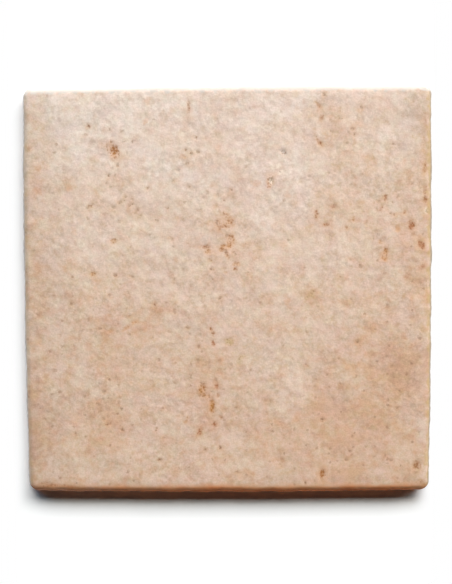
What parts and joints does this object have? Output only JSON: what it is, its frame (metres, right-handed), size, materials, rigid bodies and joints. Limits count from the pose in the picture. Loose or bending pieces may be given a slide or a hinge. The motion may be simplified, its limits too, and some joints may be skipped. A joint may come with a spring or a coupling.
{
  "type": "clinker tile",
  "caption": "Square clinker floor tile with a mottled beige stone-look glaze, rounded face edges and a dovetail-keyed back for a mortar bed.",
  "frame": {"origin": "centre of the tile in plan, at the level of the feet of the back ribs", "axes": "+Z out of the glazed face, +Y along the back keyways, +X across them"},
  "size_m": [0.3, 0.3, 0.011],
  "materials": {
    "glazed_clinker": "matte"
  },
  "bodies": {
    "root": {"clinker_tile": "glazed_clinker"}
  },
  "joints": []
}
